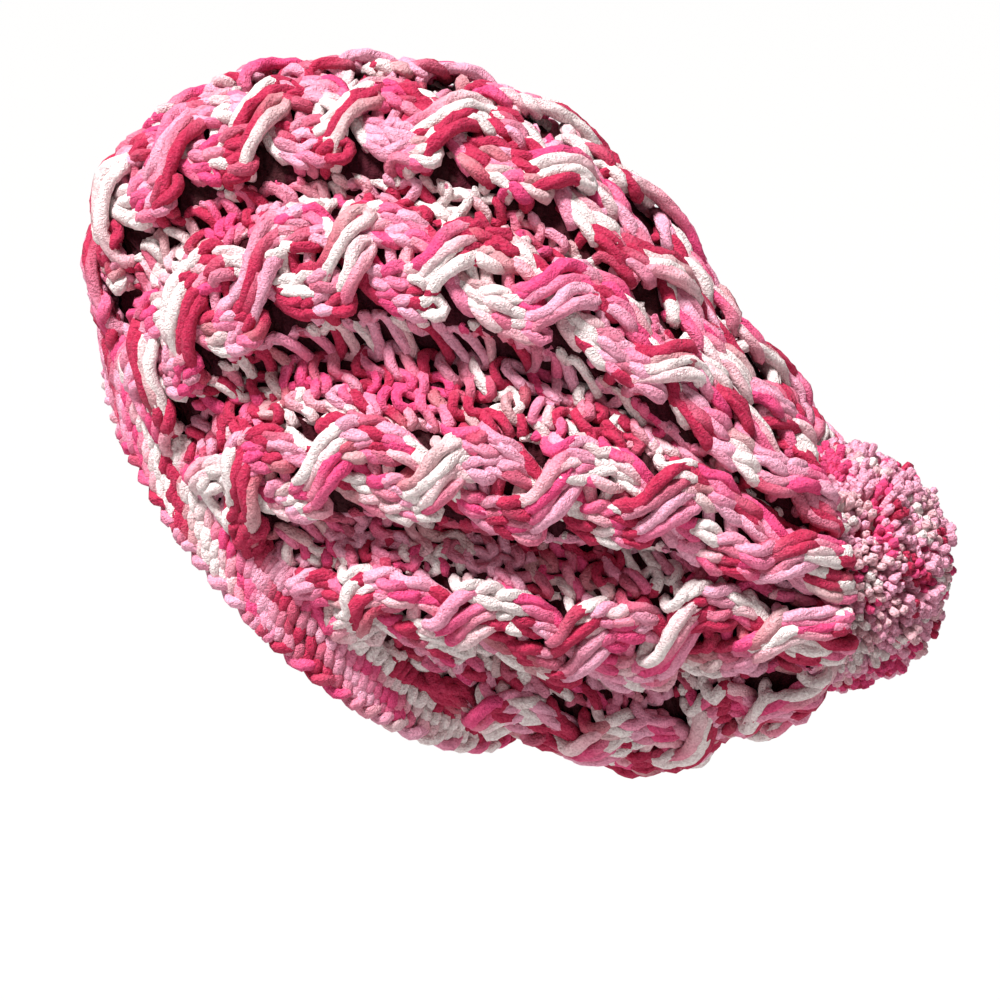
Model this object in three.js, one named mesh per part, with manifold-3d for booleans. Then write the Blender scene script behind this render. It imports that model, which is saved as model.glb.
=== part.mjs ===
// Slouchy cable knit beanie with a pompom. Millimetres, +Z up, and the wearer faces -X.
// The origin is the middle of the brim opening, where the head goes in.

import * as THREE from 'three';
import { mergeVertices } from 'three/addons/utils/BufferGeometryUtils.js';
import Module from 'manifold-3d';

// Driving dimensions
const BODY_WALL = 6.5;
const BAND_WALL = 7;
const SEAT_GAP = 0.35;
const CABLE_HEIGHT = 9;
const CABLE_RIDGE = 3.5;
const POMPOM_RADIUS = 47;
const POMPOM_BASE_DEPTH = 36;
const LOCK_COUNT = 30;
const LOCK_ROOT_RADIUS = 4;
const LOCK_TIP_RADIUS = 7.6;
const LOCK_LENGTH = 24;
const LOCK_UNEVENNESS = 0.8;
const TIE_RADIUS = 2.2;
const KNOT_RADIUS = 7;
const GATHER_RADIUS = 11;
const GATHER_DEPTH = 8;
const GATHER_BEVEL = 1.5;
const GATHER_STAND = 0.8;
const GATHER_CLEARANCE = 0.6;

// Sides of the round pieces
const GATHER_SIDES = 14;
const TIE_SIDES = 8;
const POMPOM_SIDES = 12;
const LOCK_SIDES = 5;

// How much of the pompom's radius its core takes, where it stands free and where it sits
const CORE_SHARE = 0.86;
const SEATED_CORE_SHARE = 0.94;

// Places along the knit, as a share of the rows from the cast-on edge to the gather
const BAND_END = 0.1;
const BODY_START = 0.103;
const CABLE_START = 0.115;
const RIM = 0.95;
const CABLE_END = 0.957;
const LINING_END = 0.84;
const RIDGES_FULL = 0.19;
const RIDGES_GONE = 0.985;
const BOWL_ROWS = [0.958, 0.966, 0.975, 0.985, 1];
const CROSSINGS = 7;
const ROWS_PER_CROSSING = 4;
const LINING_ROW_STEP = 4;

// The places on the axis of the gather and the pompom
const AXIS_Z = -2;
const POMPOM_X = 204;
const GATHER_X = 166;

// Wales are the stitch columns. Each cable has 4 and each gore has 4.
const WALES_PER_UNIT = 8;
const CABLE_HALF_WALES = 2;
const GRID_WALES = [0, 2, 3.2, 4.8, 6];
const CABLE_TOP_WALES = [-1.8, -0.7, 0.7, 1.8];
const WIDEST_CABLE_SHARE = 0.44;

// The shape of the folds: how blunt they end along the knit, and how narrow they are across it
const FOLD_BLUNTNESS = 0.7;
const FOLD_NARROWNESS = 1.5;
const LINING_FOLLOWS = 0.85;

// The shape of a rope cable, as shares of its height
const CABLE_ROUNDING = 0.35;
const CABLE_VALLEY_SHARE = 0.62;
const CABLE_SWELL_NARROWNESS = 2.2;
const CABLE_END_SHARE = 0.45;
const CABLE_END_ROWS = 2;

// Sections from the cast-on edge, over the rim of the bag and down the bowl to the gather. The top
// and bottom points lie in the middle plane. bow pushes the section's sides towards the crown, and
// egg makes its top part narrower than its bottom part, as a head is at the forehead.
const SECTIONS = [
  { along: 0.00, topX: -78, topZ: 72, bottomX: 82, bottomZ: -73, halfWidth: 81, bow: -11, egg: 0.15 },
  { along: 0.05, topX: -80, topZ: 88, bottomX: 85, bottomZ: -66, halfWidth: 81, bow: -11, egg: 0.15 },
  { along: 0.10, topX: -80, topZ: 103, bottomX: 88, bottomZ: -60, halfWidth: 81, bow: -9, egg: 0.13 },
  { along: 0.17, topX: -75, topZ: 126, bottomX: 97, bottomZ: -62, halfWidth: 82, bow: -6, egg: 0.1 },
  { along: 0.27, topX: -69, topZ: 156, bottomX: 109, bottomZ: -73, halfWidth: 85, bow: -3, egg: 0.07 },
  { along: 0.38, topX: -38, topZ: 178, bottomX: 123, bottomZ: -80, halfWidth: 86, bow: 0, egg: 0.03 },
  { along: 0.49, topX: 1, topZ: 186, bottomX: 139, bottomZ: -84, halfWidth: 86, bow: 0, egg: 0 },
  { along: 0.60, topX: 41, topZ: 185, bottomX: 153, bottomZ: -78, halfWidth: 85, bow: 0, egg: 0 },
  { along: 0.69, topX: 77, topZ: 175, bottomX: 162, bottomZ: -69, halfWidth: 83, bow: 2, egg: 0 },
  { along: 0.77, topX: 110, topZ: 153, bottomX: 169, bottomZ: -64, halfWidth: 80, bow: 5, egg: 0 },
  { along: 0.85, topX: 141, topZ: 119, bottomX: 176, bottomZ: -62, halfWidth: 75, bow: 10, egg: 0 },
  { along: 0.90, topX: 164, topZ: 86, bottomX: 181, bottomZ: -61, halfWidth: 71, bow: 16, egg: 0 },
  { along: 0.93, topX: 179, topZ: 66, bottomX: 186, bottomZ: -59, halfWidth: 68, bow: 20, egg: 0 },
  { along: 0.95, topX: 186, topZ: 58, bottomX: 188, bottomZ: -57, halfWidth: 64, bow: 21, egg: 0 },
  { along: 0.965, topX: 185, topZ: 51, bottomX: 185, bottomZ: -54, halfWidth: 58, bow: 15, egg: 0 },
  { along: 0.98, topX: 177, topZ: 37, bottomX: 177, bottomZ: -41, halfWidth: 41, bow: 3, egg: 0 },
  { along: 1.00, topX: GATHER_X, topZ: AXIS_Z + GATHER_RADIUS,
    bottomX: GATHER_X, bottomZ: AXIS_Z - GATHER_RADIUS, halfWidth: GATHER_RADIUS, bow: 0, egg: 0 },
];

// The inside of the bag behind the bowl, from its last plain row to the hole at the gather
const INSIDE_END = [
  { topX: 151, topZ: 87, bottomX: 167, bottomZ: -51, halfWidth: 58, bow: 12, egg: 0 },
  { topX: 160, topZ: 61, bottomX: 165, bottomZ: -43, halfWidth: 47, bow: 6, egg: 0 },
  { topX: 161, topZ: 34, bottomX: 161, bottomZ: -35, halfWidth: 32, bow: 0, egg: 0 },
  { topX: GATHER_X - GATHER_DEPTH, topZ: AXIS_Z + GATHER_RADIUS,
    bottomX: GATHER_X - GATHER_DEPTH, bottomZ: AXIS_Z - GATHER_RADIUS,
    halfWidth: GATHER_RADIUS, bow: 0, egg: 0 },
];

// The middle lines of the ten cables, in degrees round the section from the top towards the near
// side. Each row is a place along the knit.
const CABLE_LINES = [
  { along: 0.12, c1: -26, c2: 22, c3: 52, c4: 77, c5: 103, c6: 137, c7: 181, c8: 226, c9: 261, c10: 296 },
  { along: 0.30, c1: -22, c2: 25, c3: 56, c4: 84, c5: 110, c6: 139, c7: 184, c8: 228, c9: 263, c10: 298 },
  { along: 0.50, c1: -20, c2: 25, c3: 54, c4: 89, c5: 116, c6: 144, c7: 188, c8: 230, c9: 265, c10: 299 },
  { along: 0.70, c1: -20, c2: 26, c3: 58, c4: 92, c5: 121, c6: 150, c7: 188, c8: 230, c9: 265, c10: 299 },
  { along: 0.85, c1: -15, c2: 30, c3: 59, c4: 87, c5: 112, c6: 142, c7: 181, c8: 222, c9: 260, c10: 300 },
  { along: 0.95, c1: -13, c2: 30, c3: 54, c4: 76, c5: 98, c6: 128, c7: 168, c8: 210, c9: 252, c10: 299 },
];
const CABLE_KEYS = Object.keys(CABLE_LINES[0]).slice(1);

// Half of the width of a cable, which the spacing may narrow
const CABLE_HALF_WIDTHS = [
  { along: 0.12, width: 18 },
  { along: 0.50, width: 22 },
  { along: 0.95, width: 19 },
];

// The gores between the cables sink in folds, a row for the gore after each cable. deepest is the
// share of the gore's width at which the fold is deepest, close under the cable that hangs over it.
const FOLDS = [
  { from: 0.15, to: 0.98, depth: 4, deepest: 0.5 },
  { from: 0.15, to: 0.98, depth: 5, deepest: 0.4 },
  { from: 0.10, to: 0.95, depth: 10, deepest: 0.3 },
  { from: 0.20, to: 1.05, depth: 15, deepest: 0.35 },
  { from: 0.28, to: 1.00, depth: 12, deepest: 0.35 },
  { from: 0.15, to: 0.95, depth: 8, deepest: 0.5 },
  { from: 0.15, to: 0.95, depth: 9, deepest: 0.6 },
  { from: 0.20, to: 1.05, depth: 13, deepest: 0.65 },
  { from: 0.12, to: 0.95, depth: 9, deepest: 0.7 },
  { from: 0.15, to: 0.98, depth: 5, deepest: 0.6 },
];

// The band's outside, as a lift off its section. The cast-on edge is a round bead.
const BAND_PROFILE = [
  { along: 0, lift: -1 },
  { along: 0.012, lift: 1.5 },
  { along: 0.03, lift: 0.8 },
  { along: 0.065, lift: 0 },
  { along: BAND_END, lift: 0 },
];
const BAND_LINING = [BAND_END, 0.01];

const YARN_COLOURS = {
  deep: '#b8274f',
  rose: '#dd4f7e',
  pink: '#ee9bb8',
  cream: '#f3e2dc',
};

// Smooth helpers

function smoothStep(low, high, value) {
  const share = THREE.MathUtils.clamp((value - low) / (high - low), 0, 1);
  return share * share * (3 - 2 * share);
}

// A column of a table read as a smooth curve. Each row's slope is that of its two neighbours.
function readTable(table, key, along) {
  const last = table.length - 1;
  let row = 0;
  while (row < last - 1 && along > table[row + 1].along) {
    row += 1;
  }
  const slopeAt = (index) => {
    const before = table[Math.max(index - 1, 0)];
    const after = table[Math.min(index + 1, last)];
    return (after[key] - before[key]) / (after.along - before.along);
  };
  const start = table[row];
  const end = table[row + 1];
  const span = end.along - start.along;
  const t = THREE.MathUtils.clamp((along - start.along) / span, 0, 1);
  const startWeight = (1 + 2 * t) * (1 - t) * (1 - t);
  const endWeight = t * t * (3 - 2 * t);
  const startSlope = t * (1 - t) * (1 - t) * span * slopeAt(row);
  const endSlope = t * t * (t - 1) * span * slopeAt(row + 1);
  return startWeight * start[key] + endWeight * end[key] + startSlope + endSlope;
}

// The plain form, without ridges and folds

function sectionPoint(section, angle) {
  const middle = new THREE.Vector3(
    (section.topX + section.bottomX) / 2, 0, (section.topZ + section.bottomZ) / 2);
  const arm = new THREE.Vector3(
    (section.topX - section.bottomX) / 2, 0, (section.topZ - section.bottomZ) / 2);
  const towardsCrown = new THREE.Vector3(arm.z, 0, -arm.x).normalize();
  const side = Math.sin(angle);
  return middle
    .addScaledVector(arm, Math.cos(angle))
    .addScaledVector(towardsCrown, section.bow * side * side)
    .add(new THREE.Vector3(0, -section.halfWidth * side * (1 - section.egg * Math.cos(angle)), 0));
}

function sectionAt(along) {
  const section = {};
  for (const key of ['topX', 'topZ', 'bottomX', 'bottomZ', 'halfWidth', 'bow', 'egg']) {
    section[key] = readTable(SECTIONS, key, along);
  }
  return section;
}

function plainPoint(angle, along) {
  return sectionPoint(sectionAt(along), angle);
}

function outwardNormal(angle, along) {
  const step = 0.004;
  const low = Math.max(along - step, 0);
  const high = Math.min(along + step, 1);
  const around = plainPoint(angle + step, along).sub(plainPoint(angle - step, along));
  const forward = plainPoint(angle, high).sub(plainPoint(angle, low));
  return around.cross(forward).normalize();
}

// Where a wale lies round the section

function cableAngle(index, along) {
  const turns = Math.floor(index / CABLE_KEYS.length);
  const key = CABLE_KEYS[index - turns * CABLE_KEYS.length];
  return THREE.MathUtils.degToRad(readTable(CABLE_LINES, key, along) + 360 * turns);
}

function cableHalfAngle(index, along) {
  const angle = cableAngle(index, along);
  const step = 0.01;
  const pace = plainPoint(angle + step, along).distanceTo(plainPoint(angle - step, along)) / (2 * step);
  const toBefore = angle - cableAngle(index - 1, along);
  const toAfter = cableAngle(index + 1, along) - angle;
  const room = WIDEST_CABLE_SHARE * Math.min(toBefore, toAfter);
  return Math.min(readTable(CABLE_HALF_WIDTHS, 'width', along) / pace, room);
}

// wale runs from 0 at the middle of the first cable up to WALES_PER_UNIT for each unit
function waleAngle(wale, along) {
  const unit = Math.floor(wale / WALES_PER_UNIT);
  const inUnit = wale - unit * WALES_PER_UNIT;
  const start = cableAngle(unit, along);
  const end = cableAngle(unit + 1, along);
  const startEdge = start + cableHalfAngle(unit, along);
  const endEdge = end - cableHalfAngle(unit + 1, along);
  const fromEdge = inUnit - CABLE_HALF_WALES;
  const goreWales = WALES_PER_UNIT - 2 * CABLE_HALF_WALES;
  if (fromEdge < 0) {
    return THREE.MathUtils.lerp(start, startEdge, inUnit / CABLE_HALF_WALES);
  }
  if (fromEdge > goreWales) {
    return THREE.MathUtils.lerp(endEdge, end, (fromEdge - goreWales) / CABLE_HALF_WALES);
  }
  return THREE.MathUtils.lerp(startEdge, endEdge, fromEdge / goreWales);
}

// The lift of the fabric off the plain form: up under the cables, down in the folds
function fabricLift(wale, along) {
  const unit = Math.floor(wale / WALES_PER_UNIT);
  const inUnit = wale - unit * WALES_PER_UNIT;
  const grown = smoothStep(BAND_END, RIDGES_FULL, along) * (1 - smoothStep(RIM, RIDGES_GONE, along));
  const ridge = CABLE_RIDGE * (0.5 + 0.5 * Math.cos((2 * Math.PI * inUnit) / WALES_PER_UNIT));
  const goreShare = (inUnit - CABLE_HALF_WALES) / (WALES_PER_UNIT - 2 * CABLE_HALF_WALES);
  if (goreShare <= 0 || goreShare >= 1) {
    return grown * ridge;
  }
  const fold = FOLDS[((unit % FOLDS.length) + FOLDS.length) % FOLDS.length];
  const reach = THREE.MathUtils.clamp((along - fold.from) / (fold.to - fold.from), 0, 1);
  const depth = fold.depth * Math.pow(Math.sin(Math.PI * reach), FOLD_BLUNTNESS);
  const leaning = Math.pow(goreShare, Math.log(0.5) / Math.log(fold.deepest));
  return grown * (ridge - depth * Math.pow(Math.sin(Math.PI * leaning), FOLD_NARROWNESS));
}

function fabricPoint(wale, along, lift) {
  const angle = waleAngle(wale, along);
  const normal = outwardNormal(angle, along);
  return plainPoint(angle, along).addScaledVector(normal, fabricLift(wale, along) + lift);
}

// Rings of points, and the closed bodies lofted through them

const GRID = [];
for (let unit = 0; unit < CABLE_KEYS.length; unit += 1) {
  for (const wale of GRID_WALES) {
    GRID.push(unit * WALES_PER_UNIT + wale);
  }
}

function fabricRing(along, lift) {
  return GRID.map((wale) => fabricPoint(wale, along, lift));
}

// Joins each ring to the next. A closed loft ends on its first ring and needs no caps. The other
// diagonal makes a piece's underside match the fabric that it lies on.
function loft(rings, { closed, otherDiagonal }) {
  const count = rings[0].length;
  const points = rings.flat();
  const index = [];
  const ringCount = rings.length;
  const steps = closed ? ringCount : ringCount - 1;
  for (let step = 0; step < steps; step += 1) {
    const here = step * count;
    const there = ((step + 1) % ringCount) * count;
    for (let place = 0; place < count; place += 1) {
      const next = (place + 1) % count;
      const corners = [here + place, here + next, there + next, there + place];
      if (otherDiagonal) {
        index.push(corners[0], corners[1], corners[2], corners[0], corners[2], corners[3]);
      } else {
        index.push(corners[0], corners[1], corners[3], corners[1], corners[2], corners[3]);
      }
    }
  }
  if (!closed) {
    const lastRing = (ringCount - 1) * count;
    const capCentre = (ring) => {
      const sum = new THREE.Vector3();
      ring.forEach((point) => sum.add(point));
      return sum.divideScalar(count);
    };
    points.push(capCentre(rings[0]), capCentre(rings[ringCount - 1]));
    for (let place = 0; place < count; place += 1) {
      const next = (place + 1) % count;
      index.push(points.length - 2, next, place);
      index.push(points.length - 1, lastRing + place, lastRing + next);
    }
  }
  const geometry = new THREE.BufferGeometry().setFromPoints(points);
  geometry.setIndex(index);
  return geometry;
}

function namedMesh(name, geometry, colour, roughness) {
  geometry.computeVertexNormals();
  const material = new THREE.MeshStandardMaterial({ color: colour, roughness, metalness: 0 });
  const mesh = new THREE.Mesh(geometry, material);
  mesh.name = name;
  return mesh;
}

// The knit band round the opening

function brimBand() {
  const outside = BAND_PROFILE.map((row) => fabricRing(row.along, row.lift));
  const inside = BAND_LINING.map((along) => fabricRing(along, -BAND_WALL));
  return namedMesh('brim_band', loft([...outside, ...inside], { closed: true }), YARN_COLOURS.deep, 0.9);
}

// The rows of the body: one at the band, then four for each crossing of the cables

function crossingRows() {
  const rows = [];
  const steps = CROSSINGS * ROWS_PER_CROSSING;
  for (let step = 0; step <= steps; step += 1) {
    rows.push(CABLE_START + ((RIM - CABLE_START) * step) / steps);
  }
  return rows;
}

function liningPoint(wale, along) {
  const angle = waleAngle(wale, along);
  const easedLift = LINING_FOLLOWS * fabricLift(wale, along) - BODY_WALL;
  return plainPoint(angle, along).addScaledVector(outwardNormal(angle, along), easedLift);
}

function crownBody() {
  const rows = crossingRows();
  const outside = [BODY_START, ...rows].map((along) => fabricRing(along, 0));
  const bowl = BOWL_ROWS.map((along) => fabricRing(along, 0));
  const insideEnd = INSIDE_END.map((section) => {
    return GRID.map((wale) => sectionPoint(section, waleAngle(wale, LINING_END)));
  });
  const plainRows = rows.filter((along, row) => along < LINING_END && row % LINING_ROW_STEP === 0);
  const lining = [BODY_START, ...plainRows.slice(1)].map((along) => {
    return GRID.map((wale) => liningPoint(wale, along));
  });
  const rings = [...outside, ...bowl, ...insideEnd.reverse(), ...lining.reverse()];
  return namedMesh('crown_body', loft(rings, { closed: true }), YARN_COLOURS.rose, 0.92);
}

// A rope cable: its underside follows the fabric's grid, and its top swells where one rope
// crosses over the other, along a line that runs slantwise over the cable

function ropeHeight(side, phase) {
  const rounded = 1 - CABLE_ROUNDING * side * side;
  const overRope = Math.cos(Math.PI * phase) - side;
  const swell = Math.exp(-CABLE_SWELL_NARROWNESS * overRope * overRope);
  return CABLE_HEIGHT * rounded * THREE.MathUtils.lerp(CABLE_VALLEY_SHARE, 1, swell);
}

function ropeCable(unit) {
  const rows = crossingRows().filter((along) => along < CABLE_END);
  const middleWale = unit * WALES_PER_UNIT;
  const rings = rows.map((along, row) => {
    const phase = (row % ROWS_PER_CROSSING) / ROWS_PER_CROSSING;
    const fromEnd = Math.min(row, rows.length - 1 - row);
    const taper = THREE.MathUtils.lerp(CABLE_END_SHARE, 1, Math.min(fromEnd / CABLE_END_ROWS, 1));
    const top = CABLE_TOP_WALES.map((wale) => {
      const lift = taper * ropeHeight(wale / CABLE_HALF_WALES, phase);
      return fabricPoint(middleWale + wale, along, lift);
    });
    const underside = [CABLE_HALF_WALES, 0, -CABLE_HALF_WALES].map((wale) => {
      return fabricPoint(middleWale + wale, along, SEAT_GAP);
    });
    return [...top, ...underside];
  });
  const colours = [YARN_COLOURS.pink, YARN_COLOURS.rose, YARN_COLOURS.cream];
  const geometry = loft(rings, { closed: false, otherDiagonal: true });
  return namedMesh(`cable_${unit + 1}`, geometry, colours[unit % colours.length], 0.92);
}

// Round pieces on the axis of the gather. A profile gives distances along the axis and radii.

function turnedOnAxis(profile, sides) {
  const points = profile.map(([x, radius]) => new THREE.Vector2(radius, x));
  const geometry = new THREE.LatheGeometry(points, sides);
  geometry.rotateZ(-Math.PI / 2);
  geometry.translate(0, 0, AXIS_Z);
  return geometry;
}

function crownGather() {
  const outer = GATHER_RADIUS - GATHER_CLEARANCE;
  const bore = TIE_RADIUS + SEAT_GAP;
  const back = GATHER_X - GATHER_DEPTH;
  const front = GATHER_X + GATHER_STAND;
  const profile = [
    [back, bore], [back, outer - GATHER_BEVEL], [back + GATHER_BEVEL, outer],
    [front - GATHER_BEVEL, outer], [front, outer - GATHER_BEVEL], [front, bore], [back, bore],
  ];
  return namedMesh('crown_gather', turnedOnAxis(profile, GATHER_SIDES), YARN_COLOURS.deep, 0.9);
}

// The knot is round, and its cord starts where the knot has narrowed to the cord's radius
function pompomTie() {
  const steps = 6;
  const narrowed = Math.PI - Math.asin(TIE_RADIUS / KNOT_RADIUS);
  const cordStart = GATHER_X - GATHER_DEPTH - SEAT_GAP;
  const knotMiddle = cordStart + KNOT_RADIUS * Math.cos(narrowed);
  const profile = [];
  for (let step = 0; step <= steps; step += 1) {
    const turn = (narrowed * step) / steps;
    profile.push([knotMiddle - KNOT_RADIUS * Math.cos(turn), KNOT_RADIUS * Math.sin(turn)]);
  }
  const cordEnd = POMPOM_X - POMPOM_BASE_DEPTH - SEAT_GAP;
  profile.push([cordEnd, TIE_RADIUS], [cordEnd, 0]);
  return namedMesh('pompom_tie', turnedOnAxis(profile, TIE_SIDES), YARN_COLOURS.deep, 0.9);
}

// The pompom: a core, flattened where it sits in the bowl, with locks of cut yarn all over the
// part that stands free

const wasm = await Module();
wasm.setup();

function toSolid(geometry) {
  const bare = geometry.clone();
  bare.deleteAttribute('normal');
  bare.deleteAttribute('uv');
  const merged = mergeVertices(bare, 1e-4);
  const mesh = new wasm.Mesh({
    numProp: 3,
    vertProperties: new Float32Array(merged.attributes.position.array),
    triVerts: new Uint32Array(merged.index.array),
  });
  return new wasm.Manifold(mesh);
}

function toGeometry(solid) {
  const mesh = solid.getMesh();
  const geometry = new THREE.BufferGeometry();
  geometry.setAttribute('position', new THREE.BufferAttribute(mesh.vertProperties, 3));
  geometry.setIndex(new THREE.BufferAttribute(mesh.triVerts, 1));
  return geometry;
}

function pompomCore() {
  const steps = 6;
  const profile = [];
  for (let step = 0; step <= steps; step += 1) {
    const turn = (Math.PI * step) / steps;
    const free = turn > Math.PI / 2;
    const reach = free ? CORE_SHARE * POMPOM_RADIUS : POMPOM_BASE_DEPTH;
    const girth = (free ? CORE_SHARE : SEATED_CORE_SHARE) * POMPOM_RADIUS;
    profile.push([POMPOM_X - reach * Math.cos(turn), girth * Math.sin(turn)]);
  }
  return turnedOnAxis(profile, POMPOM_SIDES);
}

// The locks are spread evenly by the golden angle, from straight ahead to just behind the middle
function pompomLock(order) {
  const golden = Math.PI * (3 - Math.sqrt(5));
  const lowest = -0.05;
  const forward = 1 - ((1 - lowest) * (order + 0.5)) / LOCK_COUNT;
  const ring = Math.sqrt(1 - forward * forward);
  const direction = new THREE.Vector3(
    forward, ring * Math.cos(golden * order), ring * Math.sin(golden * order));
  const lock = new THREE.CylinderGeometry(LOCK_TIP_RADIUS, LOCK_ROOT_RADIUS, LOCK_LENGTH, LOCK_SIDES);
  const turn = new THREE.Quaternion().setFromUnitVectors(new THREE.Vector3(0, 1, 0), direction);
  lock.applyQuaternion(turn);
  const uneven = LOCK_UNEVENNESS * Math.sin(5 * order);
  const place = direction.multiplyScalar(POMPOM_RADIUS - LOCK_LENGTH / 2 + uneven);
  lock.translate(POMPOM_X + place.x, place.y, AXIS_Z + place.z);
  return lock;
}

function pompom() {
  let ball = toSolid(pompomCore());
  for (let order = 0; order < LOCK_COUNT; order += 1) {
    ball = ball.add(toSolid(pompomLock(order)));
  }
  return namedMesh('pompom', toGeometry(ball), YARN_COLOURS.pink, 0.95);
}

// The whole hat

const crown = new THREE.Group();
crown.add(crownBody(), crownGather());
for (let unit = 0; unit < CABLE_KEYS.length; unit += 1) {
  crown.add(ropeCable(unit));
}

const topping = new THREE.Group();
topping.add(pompomTie(), pompom());

const beanie = new THREE.Group();
beanie.add(brimBand(), crown, topping);

export default beanie;
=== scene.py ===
"""The looks of a slouchy cable knit beanie with a pompom, built yarn by yarn round its solids.

The hat is in its solids' own frame: +Z up, the wearer faces -X, and the middle of the brim opening
is the origin. Shapes are worked out in millimetres and made into meshes in metres. The words are a
knitter's: a wale is a column of stitches from the cast-on edge to the gather, a row runs round the
hat, and along is the share of the way from the cast-on edge to the gather.
"""

import logging
import math
from dataclasses import astuple, dataclass, field
from enum import Enum
from typing import Any, Iterable

import bpy
import numpy as np
from mathutils import Matrix, Vector


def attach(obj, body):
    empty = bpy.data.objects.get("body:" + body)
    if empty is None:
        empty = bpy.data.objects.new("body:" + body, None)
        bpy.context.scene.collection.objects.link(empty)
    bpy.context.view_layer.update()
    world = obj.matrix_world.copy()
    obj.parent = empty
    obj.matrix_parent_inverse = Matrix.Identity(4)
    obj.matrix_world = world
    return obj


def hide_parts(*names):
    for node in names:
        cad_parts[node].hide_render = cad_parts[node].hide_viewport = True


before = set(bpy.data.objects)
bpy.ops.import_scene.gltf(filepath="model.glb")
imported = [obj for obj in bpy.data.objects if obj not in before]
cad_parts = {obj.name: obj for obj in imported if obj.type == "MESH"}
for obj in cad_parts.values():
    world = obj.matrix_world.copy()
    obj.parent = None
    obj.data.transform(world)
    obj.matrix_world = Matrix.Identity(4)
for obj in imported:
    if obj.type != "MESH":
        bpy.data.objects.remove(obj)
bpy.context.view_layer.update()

log = logging.getLogger("beanie")

Array = np.ndarray
Colour = tuple[float, float, float]

METRES = 0.001
MILLIMETRES = 1000.0
TURN = 2.0 * math.pi
LENGTH_SAMPLES = 120
WIDTH_SAMPLES = 24
YARN_MAP = "yarn"

# The places along the knit
BAND_END = 0.1
CABLE_START = 0.115
RIM = 0.95
CABLE_END = 0.968
RIDGES_FULL = 0.19
RIDGES_GONE = 0.985
LAST_ALONG = 0.9995

# The metres of dyed yarn among which a length of yarn starts
DYED_LENGTH = 40.0

# A unit is a cable and the gore after it
UNITS = 10
WALES_PER_UNIT = 8
CABLE_HALF_WALES = 2
WALES = UNITS * WALES_PER_UNIT
WIDEST_CABLE_SHARE = 0.44
CABLE_RIDGE = 3.5
FOLD_BLUNTNESS = 0.7
FOLD_NARROWNESS = 1.5

# The axis of the gather and the pompom, in millimetres
AXIS_Z = -2.0
GATHER_X = 166.0
GATHER_RADIUS = 11.0


class Facing(Enum):
    """The side of a stitch that shows: a knit stitch's legs come forward, a purl's go back."""

    KNIT = 1.0
    PURL = -1.0


@dataclass(frozen=True)
class Section:
    """A section of the bag, in millimetres. Its top and bottom points lie in the middle plane."""

    along: float
    top_x: float
    top_z: float
    bottom_x: float
    bottom_z: float
    half_width: float
    bow: float
    egg: float


@dataclass(frozen=True)
class CableRow:
    """Where the ten cables' middle lines lie round the section, in degrees from the top."""

    along: float
    c1: float
    c2: float
    c3: float
    c4: float
    c5: float
    c6: float
    c7: float
    c8: float
    c9: float
    c10: float


@dataclass(frozen=True)
class CableWidth:
    """Half of a cable's width, in millimetres."""

    along: float
    width: float


@dataclass(frozen=True)
class Fold:
    """The fold of one gore: how deep it is, and the share of the width where it is deepest."""

    start: float
    end: float
    depth: float
    deepest: float


SECTIONS = (
    Section(0.00, -78, 72, 82, -73, 81, -11, 0.15),
    Section(0.05, -80, 88, 85, -66, 81, -11, 0.15),
    Section(0.10, -80, 103, 88, -60, 81, -9, 0.13),
    Section(0.17, -75, 126, 97, -62, 82, -6, 0.1),
    Section(0.27, -69, 156, 109, -73, 85, -3, 0.07),
    Section(0.38, -38, 178, 123, -80, 86, 0, 0.03),
    Section(0.49, 1, 186, 139, -84, 86, 0, 0),
    Section(0.60, 41, 185, 153, -78, 85, 0, 0),
    Section(0.69, 77, 175, 162, -69, 83, 2, 0),
    Section(0.77, 110, 153, 169, -64, 80, 5, 0),
    Section(0.85, 141, 119, 176, -62, 75, 10, 0),
    Section(0.90, 164, 86, 181, -61, 71, 16, 0),
    Section(0.93, 179, 66, 186, -59, 68, 20, 0),
    Section(0.95, 186, 58, 188, -57, 64, 21, 0),
    Section(0.965, 185, 51, 185, -54, 58, 15, 0),
    Section(0.98, 177, 37, 177, -41, 41, 3, 0),
    Section(1.00, GATHER_X, AXIS_Z + GATHER_RADIUS, GATHER_X, AXIS_Z - GATHER_RADIUS,
            GATHER_RADIUS, 0, 0),
)

CABLE_LINES = (
    CableRow(0.12, -26, 22, 52, 77, 103, 137, 181, 226, 261, 296),
    CableRow(0.30, -22, 25, 56, 84, 110, 139, 184, 228, 263, 298),
    CableRow(0.50, -20, 25, 54, 89, 116, 144, 188, 230, 265, 299),
    CableRow(0.70, -20, 26, 58, 92, 121, 150, 188, 230, 265, 299),
    CableRow(0.85, -15, 30, 59, 87, 112, 142, 181, 222, 260, 300),
    CableRow(0.95, -13, 30, 54, 76, 98, 128, 168, 210, 252, 299),
)

CABLE_WIDTHS = (CableWidth(0.12, 18), CableWidth(0.50, 22), CableWidth(0.95, 19))

FOLDS = (
    Fold(0.15, 0.98, 4, 0.5),
    Fold(0.15, 0.98, 5, 0.4),
    Fold(0.10, 0.95, 10, 0.3),
    Fold(0.20, 1.05, 15, 0.35),
    Fold(0.28, 1.00, 12, 0.35),
    Fold(0.15, 0.95, 8, 0.5),
    Fold(0.15, 0.95, 9, 0.6),
    Fold(0.20, 1.05, 13, 0.65),
    Fold(0.12, 0.95, 9, 0.7),
    Fold(0.15, 0.98, 5, 0.6),
)


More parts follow.
